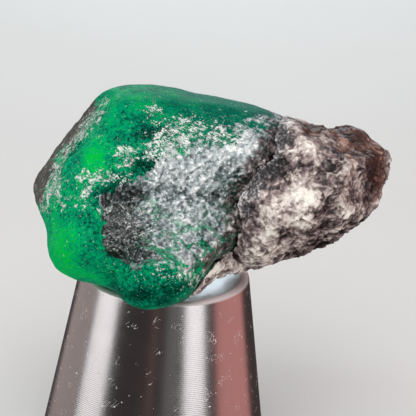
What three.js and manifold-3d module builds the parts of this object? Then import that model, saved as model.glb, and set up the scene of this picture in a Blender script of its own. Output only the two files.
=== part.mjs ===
// An emerald crystal grown in a lump of mica-schist matrix, resting on a turned metal display stand.
// Millimetres, +Z up, origin at the centre of the stand's foot. The best face of the stone looks along -Y.
import * as THREE from "three";
import { ImprovedNoise } from "three/addons/math/ImprovedNoise.js";
import { mergeVertices } from "three/addons/utils/BufferGeometryUtils.js";
import Module from "manifold-3d";

const wasm = await Module();
wasm.setup();
const noise = new ImprovedNoise();
const degrees = THREE.MathUtils.degToRad;

// Driving dimensions of the stand: a cone frustum with a dished top and a thin rim.
const STAND_HEIGHT = 10;
const STAND_TOP_RADIUS = 4.3;
const STAND_TAPER = degrees(9.2);
const STAND_FOOT_RADIUS = STAND_TOP_RADIUS + STAND_HEIGHT * Math.tan(STAND_TAPER);
const STAND_SEGMENTS = 64;
const RIM_WIDTH = 0.25;
const RIM_CHAMFER = 0.12;
const FOOT_CHAMFER = 0.25;
const DISH_DEPTH = 0.55;
const DISH_RADIUS = STAND_TOP_RADIUS - RIM_CHAMFER - RIM_WIDTH;
const DISH_STEPS = 4;

// How the stone sits on the stand: its best face leans back and a little to the side.
const STONE_LEAN_BACK = degrees(21.5);
const STONE_LEAN_SIDE = degrees(4.5);
const SEAT_GAP = 0.04;
const CRYSTAL_GAP = 0.06;

// Each lump of the stone is drawn as its outline on the best face, x to the right and z up from its own
// centre, with a depth to the front and to the back of that outline. Places are in the stone's own frame,
// whose origin lies at the middle of the stand's rim. The outline's upper and lower edges lean back by a
// share of their height, and its sides by a share of x, so the underside can lie flat. Swells raise or
// sink the front face, facets press it flat at a distance from the centre, and lumps roughen it all over.
const EMERALD = {
  detail: 13,
  centre: [0, -1.5, 3.77],
  outline: [
    [6.8, 2.5], [6.3, 3.8], [5.25, 4.3], [3.21, 4.86], [0.77, 5.38], [-1.28, 5.58], [-2.55, 5.45],
    [-3.32, 5.1], [-4.13, 4.18], [-5.36, 2.86], [-6.17, 1.84], [-6.63, 0.66], [-6.38, -0.66],
    [-5.92, -1.84], [-5.78, -2.95], [-5.22, -3.73], [-4.34, -4.22], [-3.06, -4.5], [-2.62, -4.64],
    [-2.19, -5.1], [-1.53, -5.56], [-0.77, -5.76], [0.15, -5.61], [1.17, -5.25], [2.14, -4.03],
    [3.3, -2.8], [4.45, -1.79], [5.0, -0.56], [5.75, 0.46], [6.45, 1.63],
  ],
  depth: { front: 4.7, back: 4.8 },
  lean: { above: 0.2, below: 0.45, side: 0 },
  swells: [
    { at: [-4.3, -2.3], size: [1.7, 2.2], rise: 0.7 },
    { at: [-2.55, -3.6], size: [0.45, 1.6], rise: -0.55 },
    { at: [0.2, -0.9], size: [3.0, 1.9], rise: -0.9 },
    { at: [3.3, -1.6], size: [1.7, 1.9], rise: -1.0 },
    { at: [-0.6, -4.4], size: [1.8, 1.1], rise: 0.45 },
    { at: [4.7, 2.3], size: [1.6, 1.4], rise: 0.5 },
    { at: [-3.6, 1.6], size: [1.5, 1.2], rise: 0.3 },
    { at: [-1.4, 1.1], size: [1.3, 0.5], rise: -0.3 },
  ],
  facets: [
    { normal: [-0.72, -0.34, 0.6], distance: 5.15 },
    { normal: [-0.55, 0.75, 0.36], distance: 4.4 },
    { normal: [0.25, 0.85, 0.46], distance: 4.5 },
    { normal: [-0.1, 0.97, -0.22], distance: 4.3 },
  ],
  lumps: [
    { span: 3.2, rise: 0.16 },
    { span: 1.2, rise: 0.07 },
  ],
};
const TAIL = {
  detail: 12,
  centre: [7.4, -1.2, 4.13],
  outline: [
    [3.88, 1.6], [3.5, 2.16], [2.62, 2.74], [1.9, 3.12], [0.4, 3.12], [-0.66, 3.38], [-1.27, 3.5],
    [-2.45, 3.3], [-3.57, 2.04], [-4.33, 0.25], [-4.49, -1.53], [-4.1, -3.3], [-3.42, -4.1],
    [-2.04, -3.75], [-0.51, -3.3], [0.48, -2.78], [1.7, -2.22], [2.42, -1.72], [3.1, -0.92],
    [3.47, 0.1],
  ],
  depth: { front: 4.6, back: 4.6 },
  lean: { above: 0.15, below: 0, side: 0 },
  swells: [
    { at: [-2.4, -1.5], size: [1.2, 1.6], rise: 0.5 },
    { at: [-1.0, -1.2], size: [0.9, 1.2], rise: 0.5 },
    { at: [0.6, 0.8], size: [0.8, 0.5], rise: -0.7 },
    { at: [1.2, -1.2], size: [0.6, 0.8], rise: -0.55 },
    { at: [1.7, 0.3], size: [0.5, 0.7], rise: 0.4 },
    { at: [-0.6, 1.9], size: [0.5, 1.1], rise: 0.35 },
    { at: [2.4, 1.7], size: [0.4, 0.6], rise: -0.4 },
    { at: [-1.7, 0.6], size: [0.4, 1.2], rise: -0.6 },
  ],
  facets: [
    { normal: [0.55, -0.42, 0.72], distance: 3.3 },
    { normal: [0.86, -0.48, -0.17], distance: 3.1 },
    { normal: [0.46, -0.4, -0.79], distance: 2.75 },
    { normal: [0.1, 0.62, 0.78], distance: 3.6 },
    { normal: [0.62, 0.78, 0.05], distance: 3.6 },
    { normal: [0.1, 0.8, -0.59], distance: 3.5 },
  ],
  lumps: [
    { span: 2.4, rise: 0.34 },
    { span: 1.1, rise: 0.2 },
  ],
};
const APRON = {
  detail: 6,
  centre: [2.55, -2.4, 0.46],
  outline: [
    [2.4, 0.6], [2.4, 1.9], [1.3, 1.9], [0, 0.6], [-1.02, -0.66], [-1.68, -1.95], [-0.77, -1.48],
    [0.36, -0.71], [1.53, -0.51],
  ],
  depth: { front: 1.8, back: 2.8 },
  lean: { above: 0.1, below: 0, side: 1.1 },
  swells: [],
  facets: [],
  lumps: [{ span: 1.0, rise: 0.15 }],
};

// Fullness of a lump between its outline and its middle: 1 is an ellipsoid, and less is boxier.
const FULLNESS = 0.8;
const OUTLINE_SAMPLES = 720;
const MERGE_DISTANCE = 1e-5;

// A facet or the underside keeps this share of what stood proud of its plane.
const PRESSED_SHARE = 0.12;

// Straight down and the turn from the stone's own frame to the part's frame.
const stoneTurn = new THREE.Euler(-STONE_LEAN_BACK, 0, 0);
const sideTurn = new THREE.Euler(0, -STONE_LEAN_SIDE, 0);
const stoneMatrix = new THREE.Matrix4()
  .makeRotationFromEuler(stoneTurn)
  .multiply(new THREE.Matrix4().makeRotationFromEuler(sideTurn));
const DOWN = new THREE.Vector3(0, 0, -1).transformDirection(stoneMatrix.clone().invert());

// Distance from a lump's centre to its outline, as a function of the angle about the centre.
function outlineRadius(points) {
  const curve = new THREE.CatmullRomCurve3(
    points.map(([x, z]) => new THREE.Vector3(x, z, 0)),
    true,
    "centripetal",
  );
  const samples = curve.getPoints(OUTLINE_SAMPLES).slice(0, -1);
  const polar = samples.map((p) => [Math.atan2(p.y, p.x), Math.hypot(p.x, p.y)]);
  polar.sort((a, b) => a[0] - b[0]);
  return (angle) => {
    const found = polar.findIndex(([a]) => a >= angle);
    const next = found < 0 ? 0 : found;
    const last = (next + polar.length - 1) % polar.length;
    const turn = 2 * Math.PI;
    const width = (polar[next][0] - polar[last][0] + turn) % turn || 1;
    const share = ((angle - polar[last][0] + turn) % turn) / width;
    return THREE.MathUtils.lerp(polar[last][1], polar[next][1], share);
  };
}

// Presses a point that stands proud of a plane back towards it.
function press(point, normal, distance) {
  const proud = point.dot(normal) - distance;
  if (proud > 0) point.addScaledVector(normal, (PRESSED_SHARE - 1) * proud);
}

// The surface point of a lump in one direction from its centre, with swells and rough lumps added.
function surfacePoint(lump, radius, direction, grow) {
  const angle = Math.atan2(direction.z, direction.x);
  const latitude = Math.asin(THREE.MathUtils.clamp(direction.y, -1, 1));
  const reach = Math.cos(latitude) ** FULLNESS;
  const away = Math.abs(Math.sin(latitude));
  const x = (radius(angle) + grow) * reach * Math.cos(angle);
  const z = (radius(angle) + grow) * reach * Math.sin(angle);
  const depth = direction.y < 0 ? -lump.depth.front - grow : lump.depth.back + grow;
  const lean = z * (z > 0 ? lump.lean.above : lump.lean.below) + x * lump.lean.side;
  const point = new THREE.Vector3(x, lean + depth * away ** FULLNESS, z);
  if (direction.y < 0) {
    for (const { at, size, rise } of lump.swells) {
      const across = (x - at[0]) / size[0];
      const along = (z - at[1]) / size[1];
      point.y -= rise * away * Math.exp(-across * across - along * along);
    }
  }
  for (const { normal, distance } of lump.facets) press(point, new THREE.Vector3(...normal), distance);
  for (const { span, rise } of lump.lumps) {
    const height = rise * noise.noise(point.x / span, point.y / span, point.z / span);
    point.addScaledVector(direction, height);
  }
  return point.add(new THREE.Vector3(...lump.centre));
}

// A closed lump: an icosahedron's sphere pulled out to the lump's surface, and pressed flat underneath.
function lumpGeometry(lump, grow = 0) {
  const geometry = new THREE.IcosahedronGeometry(1, lump.detail);
  geometry.deleteAttribute("normal");
  geometry.deleteAttribute("uv");
  const merged = mergeVertices(geometry, MERGE_DISTANCE);
  const radius = outlineRadius(lump.outline);
  const position = merged.getAttribute("position");
  const direction = new THREE.Vector3();
  for (let i = 0; i < position.count; i++) {
    direction.fromBufferAttribute(position, i).normalize();
    const point = surfacePoint(lump, radius, direction, grow);
    press(point, DOWN, 0);
    position.setXYZ(i, point.x, point.y, point.z);
  }
  return merged;
}

// Joining and cutting of closed geometries.
function solidOf(geometry) {
  return new wasm.Manifold(
    new wasm.Mesh({
      numProp: 3,
      vertProperties: new Float32Array(geometry.getAttribute("position").array),
      triVerts: new Uint32Array(geometry.index.array),
    }),
  );
}
function geometryOf(solid) {
  const mesh = solid.getMesh();
  return new THREE.BufferGeometry()
    .setAttribute("position", new THREE.BufferAttribute(mesh.vertProperties, 3))
    .setIndex(new THREE.BufferAttribute(mesh.triVerts, 1));
}
function largestBody(solid) {
  return solid.decompose().sort((a, b) => b.volume() - a.volume())[0];
}

const emeraldGeometry = lumpGeometry(EMERALD);
const emeraldSocket = solidOf(lumpGeometry(EMERALD, CRYSTAL_GAP));
const matrixGeometry = geometryOf(
  largestBody(solidOf(lumpGeometry(TAIL)).add(solidOf(lumpGeometry(APRON))).subtract(emeraldSocket)),
);

// The stand's outline, from the middle of its foot round to the middle of its dish.
function dishHeight(radius) {
  return STAND_HEIGHT - DISH_DEPTH * (1 - (radius / DISH_RADIUS) ** 2);
}
function standProfile() {
  const slope = Math.tan(STAND_TAPER);
  const profile = [
    [0, 0],
    [STAND_FOOT_RADIUS - FOOT_CHAMFER, 0],
    [STAND_FOOT_RADIUS - FOOT_CHAMFER * slope, FOOT_CHAMFER],
    [STAND_TOP_RADIUS + RIM_CHAMFER * slope, STAND_HEIGHT - RIM_CHAMFER],
    [STAND_TOP_RADIUS - RIM_CHAMFER, STAND_HEIGHT],
  ];
  for (let step = DISH_STEPS; step >= 0; step--) {
    const radius = (DISH_RADIUS * step) / DISH_STEPS;
    profile.push([radius, dishHeight(radius)]);
  }
  return profile.map(([radius, height]) => new THREE.Vector2(radius, height));
}

// How far the stone has to be lifted for its lowest points over the stand to clear the rim and the dish.
function seatLift(geometries) {
  const point = new THREE.Vector3();
  let lift = -Infinity;
  for (const geometry of geometries) {
    const position = geometry.getAttribute("position");
    for (let i = 0; i < position.count; i++) {
      point.fromBufferAttribute(position, i).applyMatrix4(stoneMatrix);
      const radius = Math.hypot(point.x, point.y);
      if (radius > STAND_TOP_RADIUS) continue;
      const top = radius > DISH_RADIUS ? STAND_HEIGHT : dishHeight(radius);
      lift = Math.max(lift, top - STAND_HEIGHT - point.z);
    }
  }
  return lift + SEAT_GAP;
}

const emeraldGreen = new THREE.MeshStandardMaterial({ color: 0x0a8a55, roughness: 0.3, metalness: 0 });
const schistGrey = new THREE.MeshStandardMaterial({ color: 0xb3aaa4, roughness: 0.8, metalness: 0 });
const turnedSteel = new THREE.MeshStandardMaterial({ color: 0xa8a09c, roughness: 0.25, metalness: 1 });

function named(name, geometry, material) {
  const mesh = new THREE.Mesh(geometry, material);
  mesh.name = name;
  return mesh;
}

const stand = named("stand", new THREE.LatheGeometry(standProfile(), STAND_SEGMENTS), turnedSteel);
stand.rotation.x = Math.PI / 2;

const stone = new THREE.Group();
stone.applyMatrix4(stoneMatrix);
stone.position.z = STAND_HEIGHT + seatLift([emeraldGeometry, matrixGeometry]);
stone.add(named("emerald", emeraldGeometry, emeraldGreen), named("matrix", matrixGeometry, schistGrey));

const part = new THREE.Group();
part.add(stand, stone);

export default part;
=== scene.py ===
# %% [markdown]
# # An emerald in its matrix, on a turned stand
#
# A rough emerald crystal sits in a lump of pale schist, and the stone rests on a small turned-metal post.
# The solid model gives three plain pieces, each in its right place and at its real size. This lesson
# dresses each of them: a dense skin for every piece, with the fine relief that the solid is too coarse
# for, then a material built from nodes, then a plain studio to look at it in.
#
# Lengths in the script are in millimetres until the very end of each piece, because the stone is only
# 18 mm long and Blender's metres would be awkward to read.

# %% Load the solids
import math

import bpy
import numpy as np
from mathutils import Matrix, Vector, noise


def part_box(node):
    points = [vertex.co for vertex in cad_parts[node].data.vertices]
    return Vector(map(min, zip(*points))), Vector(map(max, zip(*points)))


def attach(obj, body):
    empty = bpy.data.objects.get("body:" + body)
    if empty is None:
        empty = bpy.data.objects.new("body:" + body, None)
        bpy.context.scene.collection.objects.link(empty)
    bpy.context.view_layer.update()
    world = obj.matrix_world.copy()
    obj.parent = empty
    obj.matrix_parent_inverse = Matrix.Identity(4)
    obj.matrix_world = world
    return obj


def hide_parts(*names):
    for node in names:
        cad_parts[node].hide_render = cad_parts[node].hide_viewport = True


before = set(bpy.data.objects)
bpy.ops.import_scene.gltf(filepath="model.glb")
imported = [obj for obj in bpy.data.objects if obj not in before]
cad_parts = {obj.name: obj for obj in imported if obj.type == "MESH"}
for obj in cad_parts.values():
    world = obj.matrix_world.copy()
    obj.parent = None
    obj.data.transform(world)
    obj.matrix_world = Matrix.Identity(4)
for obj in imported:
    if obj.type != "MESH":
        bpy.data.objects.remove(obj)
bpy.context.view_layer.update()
MM = 0.001
stand_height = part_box("stand")[1].z / MM
print("solids:", sorted(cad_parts), "stand height", round(stand_height, 2), "mm")

# %% [markdown]
# ## The stone's own frame
#
# The stone leans back on its stand and a little to the side, so that its best face looks at the viewer.
# Marks on that face are far easier to place in a frame that lies flat on it: x runs to the viewer's
# right, z runs up the face, y runs away into the stone, and the origin is at the middle of the stand's
# rim. One matrix turns this frame into the model's frame, and its inverse turns points back.

# %% The stone's frame
LEAN_BACK = math.radians(21.5)
LEAN_SIDE = math.radians(4.5)

stone_turn = Matrix.Rotation(-LEAN_BACK, 3, "X") @ Matrix.Rotation(-LEAN_SIDE, 3, "Y")
stone_axes = np.array(stone_turn)
rim_middle = np.array((0.0, 0.0, stand_height))


def to_stone(points):
    return (points - rim_middle) @ stone_axes


def directions_to_stone(directions):
    return directions @ stone_axes


print("view direction in the model's frame:", np.round(stone_axes[:, 1], 3))

# %% [markdown]
# ## A dense skin
#
# Fine relief needs many more points than the solids have. A voxel remesh wraps a solid in an even net of
# small squares, whatever its triangles were, and a smoothing pass then takes off both the voxels' steps
# and the solid's facets. The result is a plain mesh, so nothing is left to compute later. The net works
# on a copy: the solid itself is never changed.

# %% Remesh helper
def dense_skin(name, node, voxel, smoothing):
    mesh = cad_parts[node].data.copy()
    mesh.transform(Matrix.Scale(1 / MM, 4))
    carrier = bpy.data.objects.new(name, mesh)
    bpy.context.scene.collection.objects.link(carrier)
    net = carrier.modifiers.new("net", "REMESH")
    net.mode = "VOXEL"
    net.voxel_size = voxel
    smooth = carrier.modifiers.new("smooth", "SMOOTH")
    smooth.factor = 0.5
    smooth.iterations = smoothing
    ready = carrier.evaluated_get(bpy.context.evaluated_depsgraph_get())
    skin = bpy.data.meshes.new_from_object(ready)
    carrier.modifiers.clear()
    carrier.data = skin
    skin.shade_smooth()
    skin.materials.clear()
    return carrier


def positions(mesh):
    values = np.empty(len(mesh.vertices) * 3)
    mesh.vertices.foreach_get("co", values)
    return values.reshape(-1, 3)


def normals(mesh):
    values = np.empty(len(mesh.vertices) * 3)
    mesh.vertex_normals.foreach_get("vector", values)
    return values.reshape(-1, 3)


def move_points(mesh, points):
    mesh.vertices.foreach_set("co", points.ravel())
    mesh.update()


emerald = dense_skin("emerald_crystal", "emerald", voxel=0.0775, smoothing=21)
matrix = dense_skin("matrix_rock", "matrix", voxel=0.064, smoothing=8)
for piece in (emerald, matrix):
    print(piece.name, 2 * len(piece.data.polygons), "triangles")

# %% [markdown]
# ## Fields on the skin
#
# Relief and colour both start as fields: one number for each point of a skin. Rock is rough at every
# size, so most fields are noise at a chosen span. Others are drawn on the stone's face: a soft spot, the
# distance to a drawn line, or how far inside a drawn outline a point lies. A field that the material
# needs is stored on the mesh as a named attribute.

# %% Field helpers
def grain(points, span, seed=0.0):
    scaled = points / span + seed
    return np.array([noise.noise(Vector(p)) for p in scaled])


def ramp(values, low, high):
    share = np.clip((values - low) / (high - low), 0, 1)
    return share * share * (3 - 2 * share)


def spot(points, centre, size):
    across = (points[:, 0] - centre[0]) / size[0]
    along = (points[:, 2] - centre[1]) / size[1]
    return np.exp(-across * across - along * along)


def painted(points, spots, ground):
    total = np.full(len(points), ground)
    for centre, size, strength in spots:
        total += strength * spot(points, centre, size)
    return total


def line_distance(points, line):
    flat = points[:, [0, 2]]
    best = np.full(len(flat), np.inf)
    for start, end in zip(np.array(line[:-1]), np.array(line[1:])):
        run = end - start
        share = np.clip((flat - start) @ run / (run @ run), 0, 1)
        best = np.minimum(best, np.linalg.norm(flat - start - share[:, None] * run, axis=1))
    return best


def near_line(points, line, reach):
    return np.exp(-((line_distance(points, line) / reach) ** 2))


def inside(points, outline):
    x, z = points[:, 0], points[:, 2]
    crossings = np.zeros(len(points), int)
    corners = np.array(outline)
    for (ax, az), (bx, bz) in zip(corners, np.roll(corners, -1, axis=0)):
        spans = (az > z) != (bz > z)
        crossings += spans & (x < (bx - ax) * (z - az) / (bz - az + 1e-9) + ax)
    distance = line_distance(points, [*outline, outline[0]])
    return np.where(crossings % 2 == 1, distance, -distance)


def stretched_along(points, turn, stretch):
    lengthwise = points[:, 0] * math.cos(turn) + points[:, 2] * math.sin(turn)
    crosswise = points[:, 2] * math.cos(turn) - points[:, 0] * math.sin(turn)
    return np.column_stack((lengthwise / stretch, points[:, 1], crosswise))


def store(mesh, name, values):
    attribute = mesh.attributes.new(name, "FLOAT", "POINT")
    attribute.data.foreach_set("value", values.astype(np.float32))


def store_places(mesh, points):
    attribute = mesh.attributes.new("place", "FLOAT_VECTOR", "POINT")
    attribute.data.foreach_set("vector", points.astype(np.float32).ravel())


print("a ramp at its start, middle and end:", ramp(np.array((0.0, 0.5, 1.0)), 0, 1))

# %% [markdown]
# ## Where the mica coat lies
#
# The crystal's left lobe and its dome are nearly smooth, while the middle of its front wears a crumbly
# coat of mica. The coat's outline is drawn on the face, noise frays it, and a few soft spots thin it. A
# broken facet on the upper left, beyond a line of pale crust, is rough and dusty instead. On the back,
# noise alone decides where mica lies.

# %% The coat and the dusty facet
COAT_OUTLINE = [
    (-3.0, 3.9), (-2.3, 4.2), (-1.4, 4.7), (-0.6, 5.5), (0.5, 6.4), (1.9, 7.0), (3.3, 7.4), (4.4, 7.8),
    (5.7, 8.0), (6.8, 7.5), (7.0, 6.0), (5.8, 4.7), (5.0, 3.6), (4.6, 2.6), (4.6, 1.2), (3.6, 0.0),
    (2.6, -0.3), (1.9, 0.2), (0.1, 0.1), (-1.8, 0.3), (-2.6, 0.8), (-2.9, 2.1),
]
THIN_SPOTS = [
    ((0.6, 6.2), (1.4, 0.7), 0.5), ((2.8, 6.8), (1.9, 0.7), 0.6), ((4.8, 7.5), (1.0, 0.5), 0.5),
    ((-0.8, 4.9), (0.8, 0.6), 0.4), ((0.2, 0.35), (2.6, 0.5), 0.5), ((2.0, 1.4), (0.6, 0.8), 0.25),
]
CRUST_LINE = [
    (-3.0, 8.5), (-3.5, 7.85), (-3.9, 7.45), (-4.3, 6.8), (-4.9, 6.2), (-5.4, 5.4), (-5.6, 4.5),
    (-5.9, 3.7), (-6.0, 3.2),
]
DUSTY_OUTLINE = [*CRUST_LINE, (-8.0, 3.0), (-8.0, 9.0)]
FRONT_EDGE = (-0.1, 0.25)
COAT_EDGE = 0.3
DUST_EDGE = (-0.3, 0.5)

places = to_stone(positions(emerald.data))
facing = -directions_to_stone(normals(emerald.data))[:, 1]
front = ramp(facing, *FRONT_EDGE)
fray = 0.35 * grain(places, 0.9) + 0.25 * grain(places, 0.35)
coat_depth = inside(places, COAT_OUTLINE) + fray
front_coat = ramp(coat_depth, -COAT_EDGE, COAT_EDGE) * (1 - painted(places, THIN_SPOTS, 0.0))
back_coat = 0.8 * ramp(grain(places, 3.0, seed=7.3) + 0.4 * grain(places, 0.8), 0.12, 0.5)
coat = front * front_coat + (1 - front) * back_coat
dusty_depth = inside(places, DUSTY_OUTLINE) + 0.5 * grain(places, 0.7) + 0.3 * grain(places, 0.25)
dust = ramp(dusty_depth, *DUST_EDGE)
print("coat covers", round(100 * coat.mean()), "% of the emerald")

# %% [markdown]
# ## The seam
#
# The crystal grew in the rock, so there is hardly a groove between the two, but the skins round off where
# they meet. A rounded edge falls back by its radius times one minus the cosine of its turn away from the
# viewer, so points near the seam are brought forward by that much. Its two ends are left as they are, the
# upper one as an open crevice.

# %% Fill the seam
CREVICE = [
    (5.8, 8.0), (5.7, 6.8), (5.2, 5.5), (4.3, 4.5), (3.75, 3.5), (3.7, 2.5), (3.6, 1.5), (2.7, 0.5),
    (1.8, -0.4),
]
SEAM_ROUNDING = 0.5
SEAM_REACH = 0.7
SEAM_FOOT = (0.2, 1.2)
SEAM_HEAD = (4.6, 5.8)
SEAM_SIDE = (-0.2, 0.2)


def seam_lift(points, facing):
    near = near_line(points, CREVICE, SEAM_REACH) * ramp(facing, *SEAM_SIDE)
    near *= ramp(points[:, 2], *SEAM_FOOT) * (1 - ramp(points[:, 2], *SEAM_HEAD))
    return near * SEAM_ROUNDING * (1 - np.clip(facing, 0, 1))


print("the emerald comes forward by up to", round(seam_lift(places, facing).max(), 2), "mm")

# %% [markdown]
# ## Broken grains
#
# Mica and schist are made of small grains that parted along flat faces. To get that look, space is divided
# into random cells, and each cell is cut by a plane with a lean of its own, so neighbouring grains stand
# at different heights with little ledges between them. The lean is picked by where the cell's centre is,
# so every run breaks the stone in the same way.

# %% Grains that parted
CELL_SPREAD = 17.3
HALF = Vector((0.5, 0.5, 0.5))
LEDGE_SHARE = 0.4


def broken_grains(points, span, tilt, seed):
    heights = np.empty(len(points))
    for index, point in enumerate(points / span + seed):
        centre = noise.voronoi(Vector(point))[1][0]
        lean = noise.cell_vector(centre * CELL_SPREAD) - HALF
        heights[index] = lean.dot(Vector(point) - centre) * tilt + LEDGE_SHARE * tilt * lean.x
    return heights


two_points = np.array([(0.0, 0.0, 0.0), (0.7, 0.0, 0.0)])
print("heights of two grains:", np.round(broken_grains(two_points, 0.7, 0.3, 1.7), 3))

# %% [markdown]
# ## The emerald's relief
#
# Where the coat meets the left lobe the surface steps down, and a crease runs on from that step to the
# notch under the stone. A shallow ledge follows the coat's lower edge. The coat is made of broken grains
# in two sizes, the larger ones stretched along slanting streaks, and the dusty facet has them at half the
# height. The bare crystal only has faint ripples, with low lumps on its upper left.

# %% Raise and sink the surface
LOBE_CREASE = [(-3.05, 4.0), (-2.95, 2.2), (-2.75, 0.8), (-2.5, -0.3), (-2.55, -1.2)]
LEDGE = [(-2.4, 0.35), (-0.6, 0.05), (1.4, 0.1), (2.6, 0.5)]
LUMPY_SPOTS = [
    ((-2.6, 5.6), (2.0, 1.6), 1.0), ((-4.6, 5.8), (1.0, 2.0), 0.6), ((0.6, 7.2), (2.0, 0.8), 0.6),
]
STREAK_TURN = math.radians(38)
STREAK_STRETCH = 2.4
STEP_DEPTH = 0.4
CREASE_DEPTH = 0.15
LEDGE_DEPTH = 0.12
GROOVE_WIDTH = 0.2
DUSTY_SHARE = 0.5

streaks = stretched_along(places, STREAK_TURN, STREAK_STRETCH)
crumbs = 0.35 * broken_grains(streaks, 0.7, 0.3, 1.7) + 0.3 * broken_grains(places, 0.3, 0.2, 5.2)
crumbs += 0.06 * grain(streaks, 0.5) + 0.03 * grain(places, 0.16)
ripples = 0.025 * grain(places, 0.9) + 0.015 * grain(places, 0.3)
lumps = 0.16 * grain(places, 1.0, seed=5.0) + 0.1 * grain(places, 0.5, seed=5.0)
ripples += front * painted(places, LUMPY_SPOTS, 0.0) * lumps
crease_x = np.interp(places[:, 2], *np.array(sorted((z, x) for x, z in LOBE_CREASE)).T)
beyond = places[:, 0] - crease_x
step = ramp(beyond, -0.12, 0.15) * (1 - ramp(beyond, 0.5, 3.0))
step *= ramp(places[:, 2], 0.1, 0.8) * (1 - ramp(places[:, 2], 3.4, 4.6))
rough = np.maximum(coat, DUSTY_SHARE * dust)
height = rough * crumbs + (1 - rough) * ripples
height -= front * STEP_DEPTH * step
height -= front * CREASE_DEPTH * near_line(places, LOBE_CREASE, GROOVE_WIDTH)
height -= front * LEDGE_DEPTH * near_line(places, LEDGE, GROOVE_WIDTH)
skin = positions(emerald.data) + height[:, None] * normals(emerald.data)
skin -= np.outer(seam_lift(places, facing), stone_axes[:, 1])
move_points(emerald.data, skin)
print("emerald relief from", round(height.min(), 3), "to", round(height.max(), 3), "mm")

# %% [markdown]
# ## Where the emerald changes colour
#
# The green is not one green. Where light comes in from the left, the left lobe and a patch above it are
# painted bright and yellowish, which is painted light. The dome is cooler, and the lower lobe and some
# hollows are painted darker, which is painted shade, among darker patches of the crystal itself. In the
# coat some patches are whiter, because there the mica lies thick, and others nearly black: the large dark
# patch on its left is the painted shadow of the lobe's step. Flecks gather along the coat's upper edge and
# the line of crust, and beside the crevice the coat darkens towards the rock, as painted shade with dark
# specks.

# %% Colour fields of the emerald
# Painted light: these spots brighten the green where the light from the left falls, and along the top.
PAINTED_LIGHT_SPOTS = [
    ((-3.6, 5.6), (1.0, 0.9), 0.4), ((-5.0, 1.0), (0.9, 2.2), 0.4), ((-3.2, -0.2), (1.4, 0.4), 0.2),
    ((-1.0, 8.6), (2.6, 0.8), 0.15),
]
# Partly painted shade, on the lower lobe and in hollows, and partly darker patches of the crystal.
DARK_AND_SHADE_SPOTS = [
    ((-0.7, 7.0), (0.7, 0.35), 0.5), ((-0.8, 5.4), (0.7, 0.5), 0.5), ((-2.3, 4.3), (0.6, 0.5), 0.3),
    ((-0.3, -0.9), (2.0, 1.0), 0.3), ((-4.5, 6.2), (0.35, 1.3), 0.3), ((-3.2, 3.8), (0.5, 0.4), 0.25),
    ((5.2, 7.9), (1.4, 0.4), 0.2),
]
# Spots with a minus sign are painted shade: the large ones on the coat's left paint the lobe's shadow.
PALE_AND_SHADOW_SPOTS = [
    ((3.9, 6.1), (1.0, 0.7), 0.3), ((1.4, 4.6), (1.4, 0.9), 0.15), ((1.2, 1.7), (1.1, 1.2), 0.15),
    ((3.0, 2.6), (0.8, 0.8), 0.1), ((-0.7, 3.4), (0.8, 0.5), 0.1),
    ((-2.0, 2.3), (1.3, 1.7), -0.65), ((-2.5, 2.0), (0.6, 1.5), -0.25), ((-1.0, 1.0), (1.2, 0.6), -0.25),
    ((-1.2, 4.1), (0.7, 0.4), -0.3),
    ((4.1, 1.5), (0.6, 1.2), -0.25), ((5.6, 6.2), (0.7, 1.2), -0.05), ((3.2, 4.4), (0.8, 0.5), -0.15),
]
CRACKED_SPOTS = [
    ((1.8, 1.6), (1.6, 1.2), 0.9), ((-0.5, 0.7), (1.6, 0.7), 0.8), ((-0.3, 3.0), (0.8, 0.8), 0.4),
    ((3.0, 4.4), (1.0, 1.0), 0.15),
]
FLECK_SPOTS = [
    ((2.4, 6.8), (2.4, 0.9), 0.9), ((0.2, 6.5), (1.0, 0.6), 0.9), ((0.8, 7.5), (0.9, 0.35), 0.8),
    ((-0.4, 5.9), (1.2, 0.5), 0.9), ((-2.0, 5.8), (0.5, 0.6), 1.1), ((-2.7, 4.7), (1.1, 0.4), 1.1),
    ((-0.6, 8.1), (0.5, 0.4), 0.8), ((-3.9, 4.0), (0.5, 1.3), 0.8), ((-2.9, 3.3), (0.4, 0.6), 0.6),
    ((-5.2, 4.0), (0.4, 1.2), 0.8), ((0.4, 0.0), (2.0, 0.5), 0.5), ((1.5, -0.4), (1.0, 0.6), 0.6),
    ((-2.6, 1.0), (0.4, 0.9), 0.5), ((-3.6, 7.2), (0.8, 0.8), 0.5), ((-1.5, 2.6), (1.1, 1.6), 0.7),
]
CRUST_WIDTH = 0.35
SEAM_WIDTH = 0.9

crust = near_line(places, CRUST_LINE, CRUST_WIDTH)
seam = near_line(places, CREVICE, SEAM_WIDTH)
# Painted shade in the crevice, broken by noise into dark specks.
crevice_shade_and_specks = seam * (0.6 + grain(places, 0.4))
store(emerald.data, "coat", coat)
store(emerald.data, "flecks", painted(places, FLECK_SPOTS, 0.0) + 0.9 * crust)
# glow holds the painted light and the painted shade of the crystal.
store(emerald.data, "glow", painted(places, PAINTED_LIGHT_SPOTS, 0.5) - painted(places, DARK_AND_SHADE_SPOTS, 0.0))
# pale holds thick mica, less the painted shadow and the crevice's painted shade.
store(emerald.data, "pale", painted(places, PALE_AND_SHADOW_SPOTS, 0.4) - 0.6 * crevice_shade_and_specks)
store(emerald.data, "seam", seam + 0.5 * grain(places, 0.4, seed=3.0))
store(emerald.data, "cracked", painted(places, CRACKED_SPOTS, 0.0))
store(emerald.data, "dust", dust)
store(emerald.data, "cool", ramp(places[:, 0] + 1.2 * places[:, 2], 6.0, 13.0))
store_places(emerald.data, places)
print("emerald fields:", [a.name for a in emerald.data.attributes if not a.name.startswith(".")])

# %% [markdown]
# ## The matrix's relief
#
# The rock is broken into grains of three sizes, from about a millimetre down to a fifth of one. Noise
# bends the space that the cells divide, so that their edges are not ruler-straight. The plates nearest
# the crystal run along the crevice, which stretched noise gives. A ridge and three pits are drawn on the
# front, and the grains are lower at the smooth brown tip and at the top of the crevice.

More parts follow.
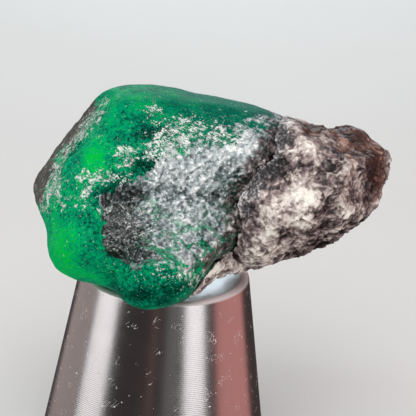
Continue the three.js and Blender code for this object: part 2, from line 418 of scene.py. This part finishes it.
# %% Break the rock
PLATE_TURN = math.radians(-58)
PLATE_STRETCH = 3.0
TIP_SPOTS = [((10.0, 6.7), (1.2, 1.0), 1.0), ((6.6, 7.2), (0.7, 1.0), 0.7)]
TIP_SMOOTHING = 0.75
RIDGE = [(6.1, 7.8), (6.8, 6.7), (7.4, 5.8), (8.3, 4.7)]
RIDGE_WIDTH = 0.3
RIDGE_HEIGHT = 0.15
PITS = [((8.2, 5.2), (0.6, 0.4), 0.18), ((8.1, 3.1), (0.35, 0.5), 0.15), ((7.2, 7.0), (0.3, 0.4), 0.15)]
BEND = 0.18
BEND_SEEDS = (11.0, 23.0, 37.0)

rock = to_stone(positions(matrix.data))
rock_facing = -directions_to_stone(normals(matrix.data))[:, 1]
rock_front = ramp(rock_facing, *FRONT_EDGE)
plates = grain(stretched_along(rock, PLATE_TURN, PLATE_STRETCH), 0.5)
bent = rock + BEND * np.column_stack([grain(rock, 0.7, seed=seed) for seed in BEND_SEEDS])
grains = 0.5 * broken_grains(bent, 1.2, 0.45, 3.7) + broken_grains(bent, 0.5, 0.32, 9.1)
grains += broken_grains(bent, 0.22, 0.18, 2.3)
smooth_tip = 1 - TIP_SMOOTHING * painted(rock, TIP_SPOTS, 0.0)
ridge = near_line(rock, RIDGE, RIDGE_WIDTH)
relief = (0.5 * grains + 0.05 * grain(rock, 0.3)) * smooth_tip + 0.05 * plates + 0.14 * grain(rock, 1.1)
relief += rock_front * (RIDGE_HEIGHT * ridge - painted(rock, PITS, 0.0))
broken = positions(matrix.data) + relief[:, None] * normals(matrix.data)
broken -= np.outer(seam_lift(rock, rock_facing), stone_axes[:, 1])
move_points(matrix.data, broken)
print("matrix relief from", round(relief.min(), 3), "to", round(relief.max(), 3), "mm")

# %% [markdown]
# ## Where the rock changes colour
#
# Spots say where quartz makes the rock cream, where it is darkened and where iron stains it brown. Most
# dark spots sit on the drawn pits, in hollows and along the crevice, so they are painted shade. The
# crevice and the underside are darker too, as painted shade, the crevice with dark specks, the ridge is
# paler, and patches of noise break all of this up.

# %% Colour fields of the matrix
CREAM_SPOTS = [
    ((6.8, 3.7), (1.1, 0.8), 0.7), ((5.2, 1.7), (0.7, 1.0), 0.75), ((6.9, 2.6), (1.0, 0.6), 0.55),
    ((9.0, 3.1), (0.4, 0.4), 0.5), ((8.9, 6.4), (0.35, 0.3), 0.5), ((6.4, 6.6), (0.3, 1.0), 0.15),
    ((2.8, 0.3), (1.2, 0.7), 0.7),
]
# Painted shade: most of these spots sit on the drawn pits, in hollows and along the crevice.
SHADE_SPOTS = [
    ((4.4, 2.7), (0.5, 0.9), 0.45), ((8.3, 5.0), (0.6, 0.5), 0.65), ((8.1, 3.0), (0.5, 0.6), 0.4),
    ((7.5, 1.6), (0.5, 0.4), 0.5),
    ((5.6, 4.9), (0.6, 0.8), 0.25), ((10.2, 4.4), (0.5, 1.4), 0.4), ((7.0, 5.6), (0.8, 0.4), 0.3),
    ((7.0, 7.0), (0.7, 0.6), 0.25),
]
STAIN_SPOTS = [
    ((10.0, 6.7), (1.4, 1.0), 1.0), ((10.6, 5.0), (0.6, 1.5), 0.8), ((8.4, 7.3), (1.2, 0.4), 0.5),
    ((8.8, 6.0), (0.8, 0.8), 0.3), ((7.0, 7.0), (0.9, 0.7), 0.45),
]
SEAM_FADE = (1.5, 3.5)

seam = near_line(rock, CREVICE, SEAM_WIDTH) * ramp(rock[:, 2], *SEAM_FADE)
# Painted shade in the crevice, broken by noise into dark specks.
crevice_shade_and_specks = seam * (0.6 + grain(rock, 0.4))
# Painted shade: faces that look down are darkened.
underside_shade = ramp(-normals(matrix.data)[:, 2], 0.2, 0.8)
patches = grain(rock, 1.4, seed=2.0) + 0.5 * grain(rock, 0.6, seed=4.0)
store(matrix.data, "cream", painted(rock, CREAM_SPOTS, 0.2) + 0.7 * patches + 0.3 * ridge)
store(matrix.data, "shade", painted(rock, SHADE_SPOTS, 0.0) + 0.5 * crevice_shade_and_specks + 0.5 * underside_shade)
store(matrix.data, "stain", painted(rock, STAIN_SPOTS, 0.0) + 0.2 * patches)
store(matrix.data, "seam", seam + 0.5 * grain(rock, 0.4, seed=3.0))
store_places(matrix.data, rock)
print("matrix fields:", [a.name for a in matrix.data.attributes if not a.name.startswith(".")])

# %% [markdown]
# ## Hollows
#
# In a broken surface the hollows are darker: less light reaches them, and dirt and dark mica stay in
# them. The materials darken them in their colour, which is painted shade as well as dirt and mica. A
# point lies in a hollow when its neighbours stand higher than it does. The mean of the neighbours is
# found from the mesh's edges, a few times over so that wider hollows count too.

# %% Measure the hollows
def hollows(mesh, rounds):
    edges = np.empty(len(mesh.edges) * 2, int)
    mesh.edges.foreach_get("vertices", edges)
    first, second = edges.reshape(-1, 2).T
    points = positions(mesh)
    count = np.bincount(edges, minlength=len(points))[:, None]
    mean = points
    for _ in range(rounds):
        total = np.zeros_like(points)
        np.add.at(total, first, mean[second])
        np.add.at(total, second, mean[first])
        mean = total / count
    return np.einsum("ij,ij->i", mean - points, normals(mesh))


HOLLOW_ROUNDS = 10
for piece, deep in ((emerald, 0.03), (matrix, 0.06)):
    depth = hollows(piece.data, HOLLOW_ROUNDS)
    store(piece.data, "hollow", np.clip(depth / deep, -1, 1))
    print(piece.name, "hollows up to", round(depth.max(), 3), "mm deep")

# %% [markdown]
# ## The stand
#
# The post was turned on a lathe, so it is made as a lathe would: one outline, spun about the post's axis.
# The tool left a fine thread of grooves down the side, about 0.1 mm apart and a few thousandths deep.
# They are real geometry here, because they are what smears every reflection up and down the metal. The
# rim is a narrow bright bevel, and the top is a shallow polished dish.

# %% Outline of the stand
SHARP_ANGLE = math.radians(60)
STAND_TOP_RADIUS = 4.3
RIM_CHAMFER = 0.12
RIM_WIDTH = 0.25
FOOT_CHAMFER = 0.25
DISH_DEPTH = 0.55
GROOVE_PITCH = 0.1
GROOVE_DEPTH = 0.0035
ROWS_PER_GROOVE = 3
DISH_ROWS = 24
SEGMENTS = 240

foot_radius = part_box("stand")[1].x / MM
side_slope = (foot_radius - STAND_TOP_RADIUS) / stand_height
dish_radius = STAND_TOP_RADIUS - RIM_CHAMFER - RIM_WIDTH


def stand_outline():
    outline = [(0, 0), (0.6 * foot_radius, 0), (foot_radius - FOOT_CHAMFER, 0)]
    low, high = FOOT_CHAMFER, stand_height - RIM_CHAMFER
    rows = int((high - low) / GROOVE_PITCH) * ROWS_PER_GROOVE
    for row in range(rows + 1):
        z = low + (high - low) * row / rows
        groove = GROOVE_DEPTH * math.sin(2 * math.pi * row / ROWS_PER_GROOVE)
        outline.append((foot_radius - side_slope * z + groove, z))
    outline.append((STAND_TOP_RADIUS - 0.4 * RIM_CHAMFER, stand_height - 0.35 * RIM_CHAMFER))
    outline.append((STAND_TOP_RADIUS - RIM_CHAMFER, stand_height))
    outline.append((dish_radius + 0.1 * RIM_WIDTH, stand_height))
    for row in range(DISH_ROWS, -1, -1):
        radius = dish_radius * row / DISH_ROWS
        outline.append((radius, stand_height - DISH_DEPTH * (1 - (radius / dish_radius) ** 2)))
    return outline


def spin(name, outline, segments):
    angles = np.linspace(0, 2 * math.pi, segments, endpoint=False)
    ring = [[(r * math.cos(a), r * math.sin(a), z) for a in angles] for r, z in outline[1:-1]]
    points = [(0, 0, outline[0][1]), *[p for row in ring for p in row], (0, 0, outline[-1][1])]
    top = len(points) - 1
    faces = []
    for s in range(segments):
        t = (s + 1) % segments
        faces.append((0, 1 + t, 1 + s))
        for row in range(len(ring) - 1):
            low, high = 1 + row * segments, 1 + (row + 1) * segments
            faces.append((low + s, low + t, high + t, high + s))
        last = 1 + (len(ring) - 1) * segments
        faces.append((last + s, last + t, top))
    mesh = bpy.data.meshes.new(name)
    mesh.from_pydata(points, [], faces)
    mesh.shade_smooth()
    mesh.set_sharp_from_angle(angle=SHARP_ANGLE)
    made = bpy.data.objects.new(name, mesh)
    bpy.context.scene.collection.objects.link(made)
    return made


stand = spin("turned_stand", stand_outline(), SEGMENTS)
turned = positions(stand.data)
store_places(stand.data, turned)
from_axis = np.hypot(turned[:, 0], turned[:, 1])
on_top = turned[:, 2] > stand_height - 1.01 * DISH_DEPTH
near_rim = turned[:, 2] > stand_height - 0.9 * RIM_CHAMFER
in_dish = from_axis < 0.99 * dish_radius
past_dish = from_axis > 0.99 * dish_radius
# Masks for the dish's painted reflection and the rim's painted highlight.
store(stand.data, "dish", on_top * in_dish)
store(stand.data, "rim", near_rim * past_dish)
print("stand:", len(stand.data.polygons), "faces")

# %% [markdown]
# ## Materials as sums
#
# A material in Blender is a net of nodes. Nets are hard to read as code, so a small class wraps a node's
# output and lets it take part in ordinary sums: each plus or times adds a Math node behind the scenes.
# Colours must not pass through Math nodes, which would turn them grey, so they are mixed by a mask.

# %% Nodes that can be added and multiplied
class Field:
    """A node's output, for use in sums with numbers and other fields."""

    def __init__(self, finish, socket):
        self.finish = finish
        self.socket = socket

    def maths(self, operation, first, second):
        return self.finish.node("Math", {"operation": operation}, {0: first, 1: second})

    def __add__(self, other):
        return self.maths("ADD", self, other)

    def __sub__(self, other):
        return self.maths("SUBTRACT", self, other)

    def __rsub__(self, other):
        return self.maths("SUBTRACT", other, self)

    def __mul__(self, other):
        return self.maths("MULTIPLY", self, other)

    def __abs__(self):
        return self.finish.node("Math", {"operation": "ABSOLUTE"}, {0: self})

    def __or__(self, other):
        return self.maths("MAXIMUM", self, other)

    __radd__ = __add__
    __rmul__ = __mul__

    def ramp(self, low, high):
        sockets = {"Value": self, "From Min": low, "From Max": high}
        return self.finish.node("MapRange", {"interpolation_type": "SMOOTHSTEP"}, sockets)


def set_stops(ramp, stops):
    while len(ramp.elements) < len(stops):
        ramp.elements.new(0.5)
    for element, (place, shade) in zip(ramp.elements, stops):
        element.position = place
        element.color = shade


class Finish:
    """A material, and the nodes that make it."""

    def __init__(self, name):
        self.material = bpy.data.materials.new(name)
        self.material.use_nodes = True
        self.tree = self.material.node_tree
        self.tree.nodes.clear()

    def node(self, kind, settings=None, sockets=None, output=0):
        made = self.tree.nodes.new("ShaderNode" + kind)
        for name, value in (settings or {}).items():
            if name == "stops":
                set_stops(made.color_ramp, value)
            else:
                setattr(made, name, value)
        for name, value in (sockets or {}).items():
            if isinstance(value, Field):
                self.tree.links.new(value.socket, made.inputs[name])
            else:
                made.inputs[name].default_value = value
        return Field(self, made.outputs[output])

    def field(self, name):
        return self.node("Attribute", {"attribute_name": name}, output="Fac")

    def place(self):
        return self.node("Attribute", {"attribute_name": "place"}, output="Vector")

    def stretched(self, place, turn, stretch):
        turned = self.node("VectorRotate", {"rotation_type": "Y_AXIS"}, {"Vector": place, "Angle": turn})
        sockets = {0: turned, 1: (1 / stretch, 1, 1)}
        return self.node("VectorMath", {"operation": "MULTIPLY"}, sockets)

    def noise(self, place, span, detail=2.0, rough=0.5, distortion=0.0):
        sockets = {"Vector": place, "Scale": 1 / span, "Detail": detail, "Roughness": rough}
        return self.node("TexNoise", {}, {**sockets, "Distortion": distortion}, output="Fac")

    def cells(self, place, span, output):
        return self.node("TexVoronoi", {}, {"Vector": place, "Scale": 1 / span}, output=output)

    def shades(self, tone, stops):
        return self.node("ValToRGB", {"stops": stops}, {0: tone})

    def blend(self, mask, below, above):
        settings = {"data_type": "RGBA"}
        return self.node("Mix", settings, {0: mask, 6: below, 7: above}, output=2)

    def lifted(self, height, distance, strength=1.0):
        sockets = {"Height": height, "Distance": distance, "Strength": strength}
        return self.node("Bump", {}, sockets)

    def tilted(self, flakes, amount):
        normal = self.node("NewGeometry", output="Normal")
        tilt = self.node("VectorMath", {"operation": "SUBTRACT"}, {0: flakes, 1: (0.5, 0.5, 0.5)})
        tilt = self.node("VectorMath", {"operation": "SCALE"}, {0: tilt, "Scale": amount})
        leaning = self.node("VectorMath", {"operation": "ADD"}, {0: normal, 1: tilt})
        return self.node("VectorMath", {"operation": "NORMALIZE"}, {0: leaning})

    def surface(self, shader):
        end = self.tree.nodes.new("ShaderNodeOutputMaterial")
        self.tree.links.new(shader.socket, end.inputs["Surface"])
        return self.material


def colour(red, green, blue):
    """A colour given as it looks on a screen, from 0 to 255, as the linear values that nodes use."""
    shares = np.array((red, green, blue)) / 255
    linear = np.where(shares <= 0.04045, shares / 12.92, ((shares + 0.055) / 1.055) ** 2.4)
    return (*linear.tolist(), 1.0)


print("colour check, middle grey:", np.round(colour(128, 128, 128), 3))

# %% [markdown]
# ## Emerald and mica
#
# Three shaders share the crystal. The emerald itself is cloudy: light goes in, is scattered among countless
# small inclusions and comes out green some way off, which is subsurface scattering. The mica coat does
# not let light in, it is made of small grey flakes that lie at all angles and glint one by one; a few
# flakes are also painted white in the colour, as painted glints. The third is the dull grey of the dusty
# facet. Masks choose between them: the coat's is solid in the middle and broken into small worm-like
# flecks along its edge.

# %% The crystal's material
FLECK_TURN = math.radians(-35)
FLECK_STRETCH = 2.2


def green_shades(finish, place, cloud, mist):
    murk = finish.noise(place, 0.45, detail=5.0, rough=0.65).ramp(0.48, 0.66)
    # glow brings painted light and painted shade into the green.
    depth = finish.field("glow") + 1.2 * (cloud - 0.5) + 1.5 * (mist - 0.5) - 0.2 * murk
    green = finish.shades(depth, [
        (0.0, colour(0, 34, 24)), (0.25, colour(0, 80, 60)), (0.5, colour(0, 138, 98)),
        (0.75, colour(0, 168, 90)), (1.0, colour(4, 188, 54)),
    ])
    green = finish.blend(finish.field("cool") * 0.8, green, colour(0, 76, 65))
    frost = finish.noise(place, 0.06, detail=3.0, rough=0.7).ramp(0.5, 0.72)
    frost = frost * (0.4 + 0.6 * cloud.ramp(0.4, 0.6))
    return finish.blend(frost * 0.6, green, colour(18, 184, 146))


def fleck_mask(finish, place, streaks, clusters):
    density = finish.field("flecks")
    curls = 1 - 2 * abs(finish.noise(streaks, 0.2, detail=3.0, rough=0.6, distortion=1.4) - 0.5)
    chips = finish.noise(place, 0.08, detail=2.0) + 0.1 * density
    worms = curls.ramp(0.82, 0.94) * (clusters + 0.24 * density).ramp(0.66, 0.76)
    return worms | 0.9 * chips.ramp(0.69, 0.75)


def mica_shades(finish, place, grit, veins, flakes):
    painted_glint = finish.node("SeparateColor", {}, {0: flakes})
    blotch = finish.noise(place, 0.9, detail=3.0)
    # The tone holds painted shadow and shade from pale and hollow, and painted glints on single flakes.
    tone = finish.field("pale") + 1.5 * (grit - 0.5) + 0.8 * (veins - 0.5) + 0.9 * (blotch - 0.5)
    tone = tone - 0.3 * finish.field("hollow") + 0.4 * painted_glint.ramp(0.9, 0.97)
    mica = finish.shades(tone, [
        (0.0, colour(18, 27, 27)), (0.25, colour(78, 90, 91)), (0.5, colour(144, 155, 157)),
        (0.75, colour(196, 203, 203)), (1.0, colour(246, 246, 242)),
    ])
    schist = finish.shades(tone, [
        (0.0, colour(24, 19, 20)), (0.5, colour(114, 102, 101)), (1.0, colour(232, 224, 217)),
    ])
    return finish.blend(finish.field("seam").ramp(0.35, 0.9), mica, schist)


def emerald_finish():
    finish = Finish("emerald and mica")
    place = finish.place()
    streaks = finish.stretched(place, FLECK_TURN, FLECK_STRETCH)
    cloud = finish.noise(place, 0.9, detail=6.0, rough=0.6)
    mist = finish.noise(place, 0.16, detail=3.0, rough=0.6)
    clusters = finish.noise(place, 0.3, detail=4.0, rough=0.65)
    veins = finish.noise(streaks, 0.4, detail=6.0, rough=0.65)
    grit = finish.noise(place, 0.2, detail=8.0, rough=0.7)
    split = finish.noise(streaks, 0.9, detail=3.0, distortion=0.6)
    flakes = finish.cells(place, 0.09, "Color")

    flecks = fleck_mask(finish, place, streaks, clusters)
    cracks = (1 - 2 * abs(split - 0.5)).ramp(0.9, 0.97) * finish.field("cracked")
    solid = (finish.field("coat") + 1.4 * (veins - 0.5) + 0.8 * (grit - 0.5)).ramp(0.45, 0.6)
    solid = solid * (1 - cracks)
    bright = finish.shades(clusters, [(0.4, colour(140, 162, 154)), (0.62, colour(240, 240, 236))])
    mica = mica_shades(finish, place, grit, veins, flakes)
    mica = finish.blend(flecks * (1 - 0.4 * solid), mica, bright)
    grime = finish.shades(grit + 0.5 * (cloud - 0.5), [
        (0.3, colour(26, 30, 27)), (0.55, colour(74, 77, 72)), (0.75, colour(150, 142, 134)),
    ])

    crystal = finish.node("BsdfPrincipled", {}, {
        "Base Color": green_shades(finish, place, cloud, mist),
        "Roughness": 0.4, "IOR": 1.58, "Specular IOR Level": 0.01,
        "Subsurface Weight": 0.85, "Subsurface Radius": (0.1, 1.0, 0.45), "Subsurface Scale": 0.9 * MM,
        "Normal": finish.lifted(cloud + 0.6 * mist, 0.03 * MM, 0.5),
    })
    coating = finish.node("BsdfPrincipled", {}, {
        "Base Color": mica, "Roughness": 0.3, "IOR": 1.6, "Specular IOR Level": 0.5,
        "Normal": finish.tilted(flakes, 0.8),
    })
    dusty = finish.node("BsdfPrincipled", {}, {
        "Base Color": grime, "Roughness": 0.4, "IOR": 1.55, "Specular IOR Level": 0.3,
    })
    dusted = (finish.field("dust") + 0.8 * (veins - 0.5)).ramp(0.35, 0.75)
    uncoated = finish.node("MixShader", {}, {0: dusted, 1: crystal, 2: dusty})
    return finish.surface(finish.node("MixShader", {}, {0: solid | flecks, 1: uncoated, 2: coating}))


emerald.data.materials.append(emerald_finish())
print("emerald material:", len(emerald.data.materials[0].node_tree.nodes), "nodes")

# %% [markdown]
# ## Schist
#
# The rock is a mix of cream quartz, grey mica and black biotite, stained brown by iron at its far tip.
# Patches choose between the minerals, and the hollows that were measured on the mesh and the shade field
# are darkened, as painted shade. Small cells give each grain a shade of its own and tilt the surface
# there, so the grains catch the light one by one. Beside the crevice the rock turns silver grey, where
# mica lies against the crystal.

# %% The matrix's material
def matrix_finish():
    finish = Finish("mica schist")
    place = finish.place()
    cream = finish.field("cream")
    hollow = finish.field("hollow")

    facets = finish.cells(place, 0.2, "Color")
    grains = finish.node("SeparateColor", {}, {0: facets})
    mottle = finish.noise(place, 0.7, detail=6.0, rough=0.6)
    fine = finish.noise(place, 0.12, detail=4.0, rough=0.6)
    tone = 0.6 + 0.5 * (cream - 0.5) + 0.9 * (mottle - 0.5) + 0.5 * (fine - 0.5) + 0.25 * (grains - 0.5)
    seam = finish.field("seam").ramp(0.35, 0.9)
    # Painted shade: the hollows and the shade field darken the tone.
    tone = tone - 0.28 * hollow - 0.5 * finish.field("shade") + 1.5 * seam * (fine - 0.5)
    rock = finish.shades(tone, [
        (0.0, colour(14, 12, 13)), (0.22, colour(64, 52, 54)), (0.45, colour(130, 112, 110)),
        (0.68, colour(200, 188, 181)), (0.95, colour(246, 241, 230)),
    ])
    rust = finish.shades(tone, [
        (0.0, colour(12, 7, 7)), (0.35, colour(50, 29, 25)), (0.6, colour(95, 62, 53)),
        (0.95, colour(188, 156, 142)),
    ])
    rusty = (finish.field("stain") + 0.7 * (mottle - 0.5)).ramp(0.25, 0.7)
    silver = finish.shades(tone, [
        (0.0, colour(18, 20, 22)), (0.5, colour(104, 104, 108)), (1.0, colour(228, 229, 230)),
    ])
    rock = finish.blend(0.8 * seam, rock, silver)
    pits = (finish.noise(place, 0.15, detail=3.0) - 0.1 * cream).ramp(0.63, 0.69)
    rock = finish.blend(pits * 0.75, finish.blend(rusty, rock, rust), colour(20, 17, 18))
    shader = finish.node("BsdfPrincipled", {}, {
        "Base Color": rock, "Roughness": 0.5 + 0.3 * mottle - 0.2 * rusty,
        "IOR": 1.55, "Specular IOR Level": 0.4,
        "Normal": finish.tilted(facets, 0.5 - 0.35 * rusty),
    })
    return finish.surface(shader)


matrix.data.materials.append(matrix_finish())
print("matrix material:", len(matrix.data.materials[0].node_tree.nodes), "nodes")

# %% [markdown]
# ## Turned metal
#
# The side is a plain conductor with a mild warm tint. Its grooves are in the mesh, so the material only
# needs what else the metal has met: specks of dust, and short fine scratches. The rim's bevel is painted
# a dull pinkish white with little metal, a painted highlight, and the dish a pale bluish white, a painted
# reflection; the masks stored on the mesh say where those two are.

# %% The stand's material
SPECK_SPAN = 0.34
SCRATCH_TURN = 0.9
SCRATCH_STRETCH = 6.0


def stand_finish():
    finish = Finish("turned metal")
    place = finish.place()
    warp = finish.node("TexNoise", {}, {"Vector": place, "Scale": 3.0, "Detail": 2.0}, output="Color")
    warp = finish.node("VectorMath", {"operation": "SCALE"}, {0: warp, "Scale": 0.5})
    loose = finish.node("VectorMath", {"operation": "ADD"}, {0: place, 1: warp})
    sizes = finish.node("SeparateColor", {}, {0: finish.cells(loose, SPECK_SPAN, "Color")})
    reach = finish.cells(loose, SPECK_SPAN, "Distance")
    specks = (0.3 * sizes - reach).ramp(0.12, 0.17)
    scrape = finish.noise(finish.stretched(place, SCRATCH_TURN, SCRATCH_STRETCH), 0.14, detail=0.0)
    bare = finish.noise(place, 0.7, detail=0.0)
    scratches = (1 - 2 * abs(scrape - 0.5)).ramp(0.96, 0.99) * bare.ramp(0.66, 0.7)
    marks = specks | scratches
    smear = finish.noise(place, 1.2, detail=3.0)
    dish = finish.field("dish")
    rim = finish.field("rim")
    # Painted reflection: the dish is a bluish white with less metal.
    metal = finish.blend(dish, colour(181, 177, 178), colour(244, 250, 255))
    # Painted highlight: the rim's bevel is a pinkish white with less metal.
    metal = finish.blend(rim, metal, colour(238, 228, 228))
    shader = finish.node("BsdfPrincipled", {}, {
        "Base Color": finish.blend(marks, metal, colour(240, 238, 236)),
        "Metallic": 1 - (0.6 * marks | 0.85 * rim) - 0.6 * dish,
        "Roughness": 0.16 + 0.1 * smear + 0.3 * (marks | rim) + 0.15 * dish,
        "Anisotropic": 0.4,
    })
    return finish.surface(shader)


stand.data.materials.append(stand_finish())
print("stand material:", len(stand.data.materials[0].node_tree.nodes), "nodes")

# %% [markdown]
# ## Put the pieces in place
#
# The skins were made in millimetres and are brought back to metres here. Each piece then takes the place
# of its solid, which stays hidden as the shape that the physics uses.

# %% Hand the pieces over
for piece, node in ((emerald, "emerald"), (matrix, "matrix"), (stand, "stand")):
    piece.data.transform(Matrix.Scale(MM, 4))
    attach(piece, "root")
    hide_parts(node)

# %% [markdown]
# ## The floor and the room
#
# The floor is pale and plain, and the room is a dim warm grey. Polished metal would mirror the whole
# floor, so the floor is hidden from mirrored rays and the post shows the room and the lights instead.

# %% Floor and room
FLOOR_SIZE = 4.0
ROOM_COLOUR = (0.52, 0.44, 0.43, 1)
ROOM_GLOW = 0.12


def floor_finish():
    finish = Finish("pale floor")
    mottle = finish.noise(finish.node("TexCoord", output="Object"), 0.02, detail=3.0)
    shader = finish.node("BsdfPrincipled", {}, {
        "Base Color": finish.blend(mottle, colour(222, 222, 220), colour(230, 230, 228)),
        "Roughness": 0.9,
    })
    return finish.surface(shader)


half = FLOOR_SIZE / 2
corners = [(-half, -half, 0), (half, -half, 0), (half, half, 0), (-half, half, 0)]
floor_mesh = bpy.data.meshes.new("floor")
floor_mesh.from_pydata(corners, [], [(0, 1, 2, 3)])
floor_mesh.materials.append(floor_finish())
floor = bpy.data.objects.new("floor", floor_mesh)
bpy.context.scene.collection.objects.link(floor)
floor.visible_glossy = False

room = bpy.data.worlds.new("room")
room.use_nodes = True
room.node_tree.nodes["Background"].inputs["Color"].default_value = ROOM_COLOUR
room.node_tree.nodes["Background"].inputs["Strength"].default_value = ROOM_GLOW
bpy.context.scene.world = room
print("floor", FLOOR_SIZE, "m wide, room glow", ROOM_GLOW)

# %% [markdown]
# ## The lights
#
# Metal shows what stands round it, so the lights are also its picture. Two tall soft boxes, to the left
# and the right of the viewer, give the post its two bright upright bands, and the left one also lights
# the crystal's lobe from the side, so that it glows. A top box and a front box light the stone. The cards
# are mostly there for the metal: reddish to the right, grey to the left, two dim ones between the bands,
# and a cool one behind, for the dish.

# %% Lights
LIGHT_MIDDLE = Vector((0.001, -0.001, 0.013))


def soft_box(name, direction, distance, width, tall, glow, tint=(1, 1, 1)):
    lamp = bpy.data.lights.new(name, "AREA")
    lamp.shape = "RECTANGLE"
    lamp.size = width
    lamp.size_y = tall
    lamp.energy = glow * math.pi * width * tall
    lamp.color = tint
    stand_in = bpy.data.objects.new(name, lamp)
    away = Vector(direction).normalized()
    stand_in.location = LIGHT_MIDDLE + away * distance
    stand_in.rotation_euler = away.to_track_quat("Z", "Y").to_euler()
    stand_in.visible_camera = False
    bpy.context.scene.collection.objects.link(stand_in)
    print(name, "gives", round(lamp.energy, 4), "W")


soft_box("left_box", (-0.951, -0.271, 0.15), 0.09, 0.055, 0.1, 1.8)
soft_box("right_box", (0.682, -0.723, 0.15), 0.1, 0.046, 0.1, 2.0)
soft_box("top_box", (0.15, -0.15, 1.0), 0.11, 0.12, 0.12, 1.6)
soft_box("front_box", (-0.1, -0.6, 0.8), 0.14, 0.09, 0.09, 4.0)
soft_box("back_card", (-0.02, 0.95, 0.3), 0.11, 0.09, 0.05, 2.8, (0.86, 0.95, 1.0))
soft_box("warm_card", (0.97, 0.15, 0.0), 0.1, 0.1, 0.1, 0.8, (1.0, 0.42, 0.38))
soft_box("grey_card", (-0.87, 0.5, 0.0), 0.1, 0.09, 0.1, 0.45, (1.0, 0.85, 0.8))
soft_box("brown_card", (-0.12, -0.99, -0.05), 0.12, 0.012, 0.1, 0.14, (1.0, 0.55, 0.45))
soft_box("dim_card", (0.26, -0.96, -0.05), 0.12, 0.03, 0.1, 0.16)

# %% [markdown]
# ## The camera
#
# A long lens from a little above, looking straight at the stone's best face. The camera's own axes are
# built by hand, because it is rolled by the small lean that the stand has in the picture.

# %% Camera
PICTURE_WIDTH = 21.2 * MM
LENS = 300
SENSOR = 36
NEAREST = 0.01
PICTURE_SHIFT = (2.193 * MM, 3.213 * MM)

right = Vector(stone_axes[:, 0])
up = Vector(stone_axes[:, 2])
back = -Vector(stone_axes[:, 1])
middle = Vector(rim_middle) * MM + right * PICTURE_SHIFT[0] + up * PICTURE_SHIFT[1]
distance = PICTURE_WIDTH / 2 / (SENSOR / 2 / LENS)

lens = bpy.data.cameras.new("camera")
lens.lens = LENS
lens.sensor_width = SENSOR
lens.clip_start = NEAREST
camera = bpy.data.objects.new("camera", lens)
axes = Matrix((right, up, back)).transposed().to_4x4()
camera.matrix_world = Matrix.Translation(middle + back * distance) @ axes
bpy.context.scene.collection.objects.link(camera)
bpy.context.scene.camera = camera
bpy.context.scene.view_settings.view_transform = "Standard"
print("camera", round(distance / MM), "mm away")
